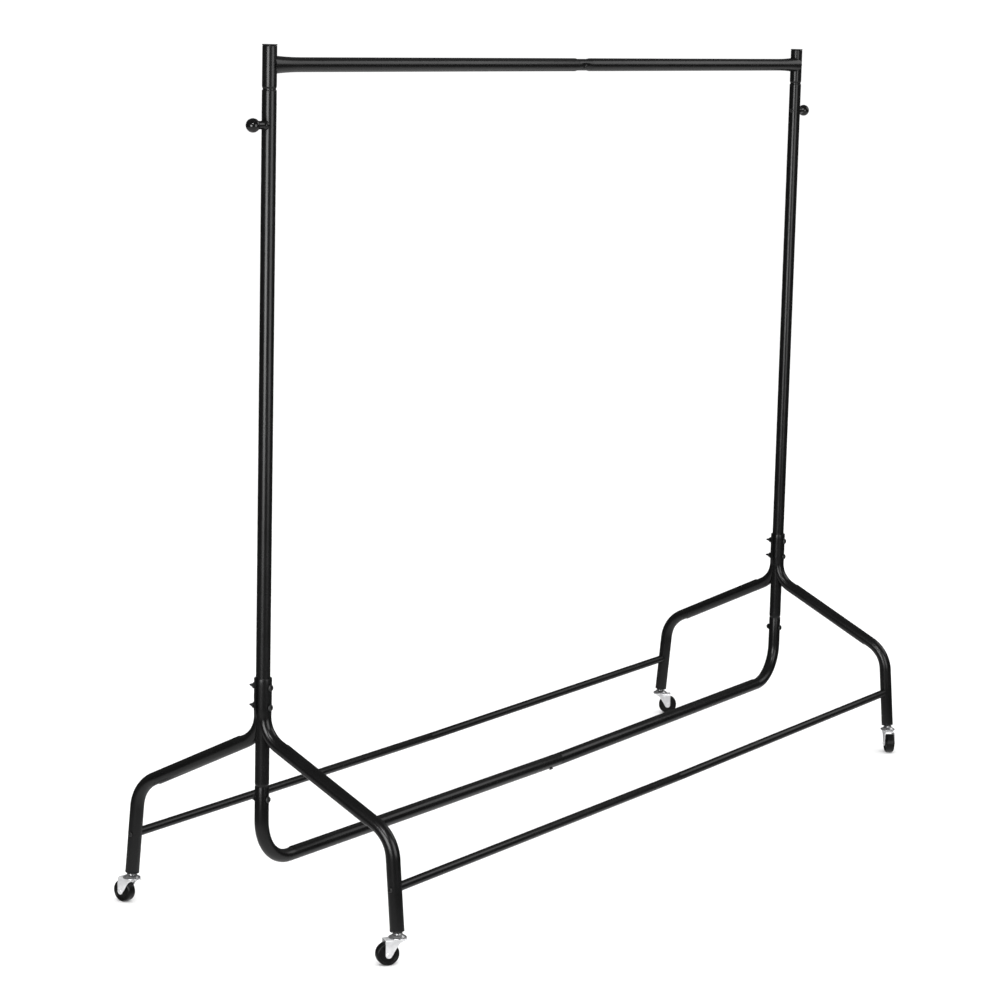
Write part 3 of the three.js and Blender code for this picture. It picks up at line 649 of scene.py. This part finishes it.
def leg(side_name, end_name):
    """One leg: a half sleeve, an upper bend, a slope, the shoulder and the splayed lower leg."""
    crown_z = SHOULDER[1] + (SHOULDER[0] - LEG_OFFSET) * math.tan(LEG_SLOPE)
    corners = [(0, -LEG_OFFSET, SLEEVE_TOP), (0, -LEG_OFFSET, crown_z), (0, -SHOULDER[0], SHOULDER[1]),
               (0, -FOOT_Y, LEG_END)]
    path, presses = die_pressed(bent_path(corners, LEG_BENDS), ["end", "start"])
    side = (1, 0, 0)
    # the ring's second axis points away from the post where the path runs down
    turn_of = [math.atan2(math.cos(t), math.sin(t)) for t in angles(ROUND)]
    top, down = path[0]
    heights = [0, 0.4, 1.2, 10, 30, 48] + list(np.linspace(52, SLEEVE_TOP - SLEEVE_FOOT[0] + 2, 12))
    heads = [(top + down * h, down) for h in heights if top[2] - h > path[1][0][2]]
    rings = []
    for station, press in zip(heads + path[1:-1], [None] * len(heads) + presses[1:-1]):
        points = station_ring(station, side, TUBE, press)
        rings.append(np.array(pressed(points, turn_of)))
    # the sleeve's top edge is rounded by drawing its first rings in towards the middle of its wall
    for index, inset in ((0, 0.5), (1, 0.15)):
        flat = rings[index][:, :2]
        mid = np.array([mid_line(p) for p in flat])
        away = flat - mid
        span = np.maximum(np.linalg.norm(away, axis=1, keepdims=True), 1e-6)
        rings[index][:, :2] = flat - away / span * inset
    rings += rounded_mouth(path[-1], side, TUBE, BORE, 1)
    rings.append(station_ring(along(path[-1], -36), side, BORE))
    facing = Matrix.Rotation(math.pi if end_name == "rear" else 0, 4, "Z")
    return moved(skin(rings), Matrix.Translation((SIDES[side_name] * POST_X, 0, 0)) @ facing)


def mid_line(point):
    """The nearest point of the arc half way through the sleeve's wall."""
    radius = (SLEEVE_OUT + CLEAR) / 2
    reach = math.atan2(point[0], -point[1])
    reach = min(SLEEVE_REACH - 0.06, max(-SLEEVE_REACH + 0.06, reach))
    return radius * math.sin(reach), -radius * math.cos(reach)


# ---- fasteners ----
THREAD_PITCH, THREAD_DEPTH = 1.0, 0.32


def threaded(radius, bottom, top):
    """Profile points of thread crests between two heights, written upwards."""
    root = radius - THREAD_DEPTH
    points = []
    for crest in np.arange(bottom, top - THREAD_PITCH, THREAD_PITCH):
        points += [(root, crest), (radius, crest + THREAD_PITCH * 0.4), (radius, crest + THREAD_PITCH * 0.65)]
    return points + [(root, top)]


HEAD_SIDES = 48


def driven_head(radius, height, shank, tail):
    """A pan head with a cross recess. The tail is its shank's profile, up to the underside at the origin."""
    rings = [ring(r, z, HEAD_SIDES) for r, z in tail]
    rim = [(shank, 0), (radius, 0), (radius, height * 0.4), (radius * 0.8, height * 0.9),
           (radius * 0.6, height)]
    rings += [ring(r, z, HEAD_SIDES) for r, z in soften(rim, radius * 0.12, 4)]
    arm, width, depth = radius * 0.55, radius * 0.12, height * 0.65
    for share in np.linspace(0.56, 0, 16):
        points = ring(radius * share, height * (1 + 0.10 * (0.6 - share)), HEAD_SIDES)
        for point in points:
            long_way, short_way = max(abs(point[:2])), min(abs(point[:2]))
            in_width = 1 - ease(short_way, width * 0.75, width * 1.5)
            in_arm = 1 - ease(long_way, arm * 0.82, arm * 1.02)
            point[2] -= depth * (in_width * in_arm)
        rings.append(points)
    return skin(rings)


def screw(radius, height, shank, length):
    """A short screw along -Z: cone point, plain shank, pan head."""
    tail = [(0, -length - shank * 0.9), (shank * 0.3, -length - shank * 0.7), (shank, -length), (shank, -0.2)]
    return driven_head(radius, height, shank, tail)


BOLT_POINT, BOLT_THREAD = 4.0, 16.0     # lengths of a bolt's cone and thread, from its tip


def through_bolt(node):
    """A bolt along Y: pan head at the front, its thread and point behind the nut."""
    head, shank, height = 6.0, 2.8, 3.4
    under = low(node)[1] + height
    tip = under - high(node)[1]
    tail = [(0, tip), (0.9, tip), (1.3, tip + 0.4), (shank - 0.3, tip + BOLT_POINT)]
    tail += threaded(shank, tip + BOLT_POINT + 0.2, tip + BOLT_THREAD)
    tail += [(shank, tip + BOLT_THREAD + 0.2), (shank, -0.2)]
    return moved(driven_head(head, height, shank, tail), turn_to((0, -1, 0), middle_of(node, under)))


def middle_of(node, y):
    """A point on a bolt's or nut's axis."""
    centre = middle(node)
    return centre[0], y, centre[2]


def hex_nut(node):
    """A flanged hexagon nut along +Y with chamfered corners, in its node's place."""
    across, flange, hole, sides = 10.2, 13.2, 3.1, 72
    height = high(node)[1] - low(node)[1]
    turn = angles(sides)
    flat = across / 2 / np.cos((turn + math.pi / 6) % (math.pi / 3) - math.pi / 6)

    def outline(limit, z):
        radius = np.minimum(flat, limit)
        return np.stack([radius * np.cos(turn), radius * np.sin(turn), np.full(sides, z)], 1)

    corner = across * 0.577
    rings = [ring(r, z, sides) for r, z in ((hole + 0.4, 0), (flange / 2 - 0.2, 0), (flange / 2, 0.2))]
    rings += [ring(flange / 2, 0.7, sides), ring(flange / 2 - 0.35, 1.0, sides), outline(corner, 1.15)]
    rings += [outline(corner, height - 0.9), outline(corner * 0.96, height - 0.5)]
    rings += [outline(corner * 0.87, height)]
    rings += [ring(hole + 0.5, height, sides), ring(hole, height - 0.5, sides), ring(hole, 0.4, sides)]
    return moved(skin(rings, closed=True), turn_to((0, 1, 0), middle_of(node, low(node)[1])))


# ---- casters, with the stem along +Z, trailing towards +X ----
CROWN = 46.0                    # top of the fork
PLATE = 1.4                     # its sheet's thickness
TRAIL = 18.0                    # from the swivel's axis to the axle's
FORK_IN = WHEEL_HALF + 1.0
FORK_OUT = FORK_IN + PLATE


def caster_socket():
    """The plug square in the splayed leg. Its bore is plumb, so the swivel's axis is upright."""
    plug, flange, pin = BORE - GAP, TUBE + 0.2, 4.2
    outer = soften([(pin + 0.6, -3), (flange - 0.9, -3), (flange, -2.2), (flange, -GAP), (plug, -GAP),
                    (plug, 26), (plug - 1.2, 28), (pin + 0.6, 28)], 0.35)
    rings = [ring(r, z, ROUND) for r, z in outer]
    points, faces = skin(rings + [ring(pin, 27.4, ROUND), ring(pin, -2.4, ROUND)], closed=True)
    near_bore = np.hypot(points[:, 0], points[:, 1]) < pin + 1
    points[near_bore, 1] -= (points[near_bore, 2] - 8) * math.tan(LEG_SPLAY)
    return points, faces


def caster_stem():
    """Pin, collar, the upper race's dome with its rolled edge, kingpin and rivet head."""
    race = CROWN + 0.4
    return turned([
        (0, 42.4), (4.6, 42.5), (6, 43.0), (6, 43.6), (3, 43.6), (3, race), (14.4, race), (15.6, race),
        (16, race + 0.7), (15.7, race + 1.7), (14.6, race + 2.4), (13.4, race + 2.3), (12.2, race + 3.6),
        (9.8, race + 5.6), (8.9, race + 6.0), (8.4, race + 6.5), (8.4, 54.6), (7.8, 55.4), (3.8, 55.4),
        (3.8, 80), (2.8, 82.5), (0, 82.5),
    ], corner=0.45, steps=4)


def plate_outline():
    """The fork's side view: square at the back, round under the axle, sweeping up to the front."""
    tip = 6.0
    points = [(-14.5, CROWN + 1), (-14.5, 43.4)]
    for t in np.linspace(0, 1, 9):
        start, bend, end = np.array([-11.0, 43.0]), np.array([-2.5, 41.5]), np.array([2.6, 33.6])
        points.append(tuple((1 - t) ** 2 * start + 2 * t * (1 - t) * bend + t * t * end))
    for angle in np.linspace(math.radians(214), math.radians(360), 15):
        points.append((TRAIL + tip * math.cos(angle), WHEEL + tip * math.sin(angle)))
    points.append((TRAIL + tip, CROWN + 1))
    return points


def channel_line(half, set_out, crown, roll, first):
    """One face of the channel's section, from one cheek's foot over the crown to the other's."""
    line = []
    for way, order in ((first, 1), (-first, -1)):
        run = [(way * (half + set_out), 10), (way * (half + set_out), 36)]
        for angle in np.linspace(0, math.pi / 2, 7):
            run.append((way * (half - roll + roll * math.cos(angle)), crown - roll + roll * math.sin(angle)))
        line += run[::order]
    return line


def fork_channel():
    """The pressed sheet: an upside down U along X, its cheeks set out round the axle."""
    rings = []
    for x in np.linspace(-16, 26, 43):
        set_out = 0.75 * ease(x, 7.5, 11.5)
        section = channel_line(FORK_OUT, set_out, CROWN, 3.2, -1)
        section += channel_line(FORK_IN, set_out, CROWN - PLATE, 1.8, 1)
        rings.append([(x, y, z) for y, z in section])
    return skin(rings)


def extruded(outline, start, end):
    """An outline in XZ carried along Y."""
    return skin([[(x, y, z) for x, z in outline] for y in (start, end)])


def caster_fork(name):
    """The fork: pressed channel trimmed to its side view, with the lower race's dish on its crown."""
    fork = new_object("fine_" + name, fork_channel())
    combined(fork, extruded(plate_outline(), -20, 20), "INTERSECT")
    dish = turned([(0, CROWN - PLATE), (12.6, CROWN - PLATE), (13.5, CROWN - 1.0), (13.5, CROWN - 0.3),
                   (13.2, CROWN), (0, CROWN)], corner=0.2)
    combined(fork, dish, "UNION")
    axle = moved(turned([(0, -20), (3.2, -20), (3.2, 20), (0, 20)], 40, 0),
                 turn_to((0, 1, 0), (TRAIL, 0, WHEEL)))
    combined(fork, axle, "DIFFERENCE")
    kingpin = turned([(0, 40), (3.4, 40), (3.4, 50), (0, 50)], 40, 0)
    combined(fork, kingpin, "DIFFERENCE")
    with_modifier(fork, "BEVEL", width=0.22 * MM, segments=2, limit_method="ANGLE",
                  angle_limit=math.radians(40))
    clean(fork.data)
    return fork


def mirrored(half):
    """A profile from its half at positive heights, which starts at height 0."""
    return [(r, -z) for r, z in half[:0:-1]] + half[1:]


def caster_axle():
    end = FORK_OUT + 0.8 + GAP
    half = [(2.8, 0), (2.8, end), (4.4, end), (4.4, end + 0.6), (3.6, end + 1.2), (1.6, end + 1.3),
            (0, end + 0.8)]
    return moved(turned(mirrored(half), 48, 0.25), turn_to((0, 1, 0), (TRAIL, 0, WHEEL)))


def caster_wheel():
    """A moulded wheel: crowned tread, raised shoulder ring, recessed web and a hub."""
    bore, hub = 3.2, WHEEL_HALF + 0.5
    half = [(WHEEL, 0), (WHEEL, WHEEL_HALF - 3), (WHEEL - 0.5, WHEEL_HALF - 1.2), (WHEEL - 1.9, WHEEL_HALF),
            (16.2, WHEEL_HALF), (15.6, WHEEL_HALF - 0.5), (15.2, WHEEL_HALF - 1.4), (14.6, WHEEL_HALF - 1.8),
            (8.4, WHEEL_HALF - 1.6), (7.2, WHEEL_HALF - 1.3), (6.6, hub), (bore + 0.4, hub),
            (bore, hub - 0.4)]
    profile = mirrored(half)
    return moved(turned(profile + profile[:1], 96, 0.45), turn_to((0, 1, 0), (TRAIL, 0, WHEEL)))


def ball_knob():
    """The side hook: a ball on a waisted neck. Drawn along +Z from the post's axis, its base coped to it."""
    ball, base, neck = 12.0, 8.8, 7.0
    reach = high("ball_knob_right")[0] - POST_X - ball
    profile = [(0, 9), (3, 9), (6, 9), (base - 0.6, 9), (base, 9), (base, 14.5), (base - 0.3, 15.6),
               (7.8, 17.6), (neck, 20.5)]
    start = math.asin(-math.sqrt(ball ** 2 - neck ** 2) / ball)
    for angle in np.linspace(start, math.pi / 2, 30):
        profile.append((max(0.0, ball * math.cos(angle)), reach + ball * math.sin(angle)))
    points, faces = turned(profile, ROUND, 0.5)
    base_end = 14
    for point in points:
        if point[2] < base_end:
            point[2] = max(point[2], math.sqrt(max(0.0, CLEAR ** 2 - point[1] ** 2)))
    return points, faces


# ---- the rack, piece by piece ----
for side, sign in SIDES.items():
    post = Matrix.Translation((sign * POST_X, 0, 0))
    show(f"top_rail_{side}", top_rail_half(sign))
    show(f"tee_post_{side}", moved(spigot_tube(POST_SEAM, POST_TOP, 80), post))
    show(f"post_cap_{side}", moved(post_cap(), post))
    show(f"upright_{side}", moved(spigot_tube(FOOT_SEAM, POST_SEAM - 1.6, 50), post))
    show(f"bottom_rail_{side}", bottom_rail_half(sign))
    knob_place = (sign * POST_X, 0, KNOB_Z)
    show(f"ball_knob_{side}", moved(ball_knob(), turn_to((sign, 0, 0), knob_place)))
    seat = (sign * (POST_X - CLEAR), 0, KNOB_Z)
    show(f"knob_screw_{side}", moved(screw(4.5, 2.6, 2.2, 44), turn_to((-sign, 0, 0), seat)))
    for level in ("upper", "lower"):
        show(f"clamp_bolt_{side}_{level}", through_bolt(f"clamp_bolt_{side}_{level}"))
        show(f"clamp_nut_{side}_{level}", hex_nut(f"clamp_nut_{side}_{level}"))
    show(f"foot_bolt_{side}", through_bolt(f"foot_bolt_{side}"))
    show(f"foot_nut_{side}", hex_nut(f"foot_nut_{side}"))

for name, seat_radius, screw_x, rail_z, lean in (
    ("top_rail_screw", TOP_SCREW_SEAT, TOP_SCREW_X, TOP_RAIL_Z, TOP_SCREW_LEAN),
    ("bottom_rail_screw", CLEAR, LOW_SCREW_X, LOW_SCREW_Z, LOW_SCREW_LEAN),
):
    facing = Vector((0, -math.cos(math.radians(lean)), -math.sin(math.radians(lean))))
    seat = Vector((screw_x, 0, rail_z)) + facing * seat_radius
    show(name, moved(screw(4.3, 2.4, 1.8, 9), turn_to(facing, seat)))

for side, sign in SIDES.items():
    for end, way in ENDS.items():
        show(f"leg_{side}_{end}", leg(side, end))
        show(f"{end}_rod_{side}", rod_half(end, sign))
        seat = (sign * (POST_X + CLEAR), way * ROD_Y, ROD_Z)
        show(f"rod_screw_{side}_{end}", moved(screw(4.4, 2.4, 2.2, 40), turn_to((sign, 0, 0), seat)))
        half_turn = Matrix.Rotation(math.pi if way > 0 else 0, 4, "Z")
        foot = Matrix.Translation((sign * POST_X, way * FOOT_Y, LEG_END)) @ half_turn
        splay = Matrix.Rotation(-LEG_SPLAY, 4, "X")
        show(f"caster_socket_{side}_{end}", moved(caster_socket(), foot @ splay))
        swivel = Matrix.Translation((sign * POST_X, way * STEM_Y, 0))
        # the stem takes the darker copy of the zinc plate, with its painted shade
        show(f"caster_stem_{side}_{end}", moved(caster_stem(), swivel), material=SHADED_RACE_ZINC)
        axle = JOINT[f"spin_{side}_{end}"]["axis"]
        heading = swivel @ Matrix.Rotation(math.atan2(-axle[0], axle[1]), 4, "Z")
        fork = caster_fork(f"caster_fork_{side}_{end}")
        fork.data.transform(Matrix.LocRotScale(heading.translation * MM, heading.to_quaternion(), None))
        show(f"caster_fork_{side}_{end}", fork)
        show(f"caster_axle_{side}_{end}", moved(caster_axle(), heading))
        show(f"caster_wheel_{side}_{end}", moved(caster_wheel(), heading))


# ---- floor, light and camera ----
def floor():
    """A wide pale sweep for the rack to stand on."""
    half = 40.0
    corners = [(-half, -half, 0), (half, -half, 0), (half, half, 0), (-half, half, 0)]
    mesh = bpy.data.meshes.new("floor")
    mesh.from_pydata(corners, [], [(0, 1, 2, 3)])
    obj = bpy.data.objects.new("floor", mesh)
    bpy.context.scene.collection.objects.link(obj)
    material, shader = new_material("pale_floor")
    shader.inputs["Base Color"].default_value = grey(0.9)
    shader.inputs["Roughness"].default_value = 0.9
    shader.inputs["Specular IOR Level"].default_value = 0.1
    mesh.materials.append(material)
    obj.visible_glossy = False


def softbox(name, place, target, width, height, watts):
    """An area light that the camera doesn't see."""
    light = bpy.data.lights.new(name, "AREA")
    light.shape = "RECTANGLE"
    light.size, light.size_y = width, height
    light.energy = watts
    obj = bpy.data.objects.new(name, light)
    obj.location = place
    obj.rotation_euler = (Vector(target) - Vector(place)).to_track_quat("-Z", "Y").to_euler()
    obj.visible_camera = False
    bpy.context.scene.collection.objects.link(obj)


SEEN_WHITE = 1.05
# the surroundings' greys from straight down, over floor and horizon, to straight up
WORLD_SHADES = ((0.0, 0.80), (0.28, 0.56), (0.38, 0.045), (1.0, 0.14))


def surroundings():
    """White to the camera, and a run of greys by height to everything else."""
    world = bpy.data.worlds.new("studio")
    bpy.context.scene.world = world
    world.use_nodes = True
    nodes, links = world.node_tree.nodes, world.node_tree.links
    seen, lit = nodes["Background"], nodes.new("ShaderNodeBackground")
    seen.inputs["Color"].default_value = grey(1)
    seen.inputs["Strength"].default_value = SEEN_WHITE
    place, split = nodes.new("ShaderNodeTexCoord"), nodes.new("ShaderNodeSeparateXYZ")
    scale = nodes.new("ShaderNodeMapRange")
    scale.inputs["From Min"].default_value = -1.0
    shades = nodes.new("ShaderNodeValToRGB")
    shades.color_ramp.elements.new(0.3)
    shades.color_ramp.elements.new(0.46)
    for stop, (height, value) in zip(shades.color_ramp.elements, WORLD_SHADES):
        stop.position, stop.color = height, grey(value)
    path, mix = nodes.new("ShaderNodeLightPath"), nodes.new("ShaderNodeMixShader")
    links.new(place.outputs["Generated"], split.inputs["Vector"])
    links.new(split.outputs["Z"], scale.inputs["Value"])
    links.new(scale.outputs["Result"], shades.inputs["Fac"])
    links.new(shades.outputs["Color"], lit.inputs["Color"])
    links.new(path.outputs["Is Camera Ray"], mix.inputs["Fac"])
    links.new(lit.outputs["Background"], mix.inputs[1])
    links.new(seen.outputs["Background"], mix.inputs[2])
    links.new(mix.outputs["Shader"], nodes["World Output"].inputs["Surface"])


def lights():
    """An even glow from above that gives no highlights, and four soft boxes that do."""
    glow = bpy.data.lights.new("overhead", "SUN")
    glow.energy = 3.4
    glow.angle = math.radians(120)
    overhead = bpy.data.objects.new("overhead", glow)
    overhead.visible_glossy = False
    bpy.context.scene.collection.objects.link(overhead)
    softbox("left", (-5.0, -1.0, 1.1), (-0.5, 0, 1.1), 2.2, 1.9, 110)
    softbox("front", (-0.96, -3.3, 1.3), (-0.6, 0, 1.2), 1.9, 2.0, 36)
    softbox("high", (-4.2, -2.5, 3.9), (-0.5, 0, 1.2), 1.2, 1.2, 58)
    softbox("right", (4.2, -2.4, 3.3), (3.4, 0, 1.4), 4.4, 2.7, 46)


LENS = 107.10
CAMERA_PLACE = (-4.96153, -3.05933, 1.58788)
CAMERA_HEADING = math.radians(32.767)   # from +X towards +Y
CAMERA_PITCH = math.radians(9.178)      # below the horizon
CAMERA_ROLL = math.radians(-1.342)


def camera():
    data = bpy.data.cameras.new("camera")
    data.lens = LENS
    data.sensor_width = 36
    data.clip_end = 200
    obj = bpy.data.objects.new("camera", data)
    bpy.context.scene.collection.objects.link(obj)
    level = math.cos(CAMERA_PITCH)
    forward = Vector((level * math.cos(CAMERA_HEADING), level * math.sin(CAMERA_HEADING),
                      -math.sin(CAMERA_PITCH)))
    right = Vector((math.sin(CAMERA_HEADING), -math.cos(CAMERA_HEADING), 0))
    down = forward.cross(right)
    x = right * math.cos(CAMERA_ROLL) + down * math.sin(CAMERA_ROLL)
    y = right * math.sin(CAMERA_ROLL) - down * math.cos(CAMERA_ROLL)
    turn = Matrix((x, y, -forward)).transposed().to_4x4()
    obj.matrix_world = Matrix.Translation(CAMERA_PLACE) @ turn
    bpy.context.scene.camera = obj


floor()
surroundings()
lights()
camera()
bpy.context.scene.view_settings.view_transform = "Standard"
bpy.context.scene.view_settings.look = "None"
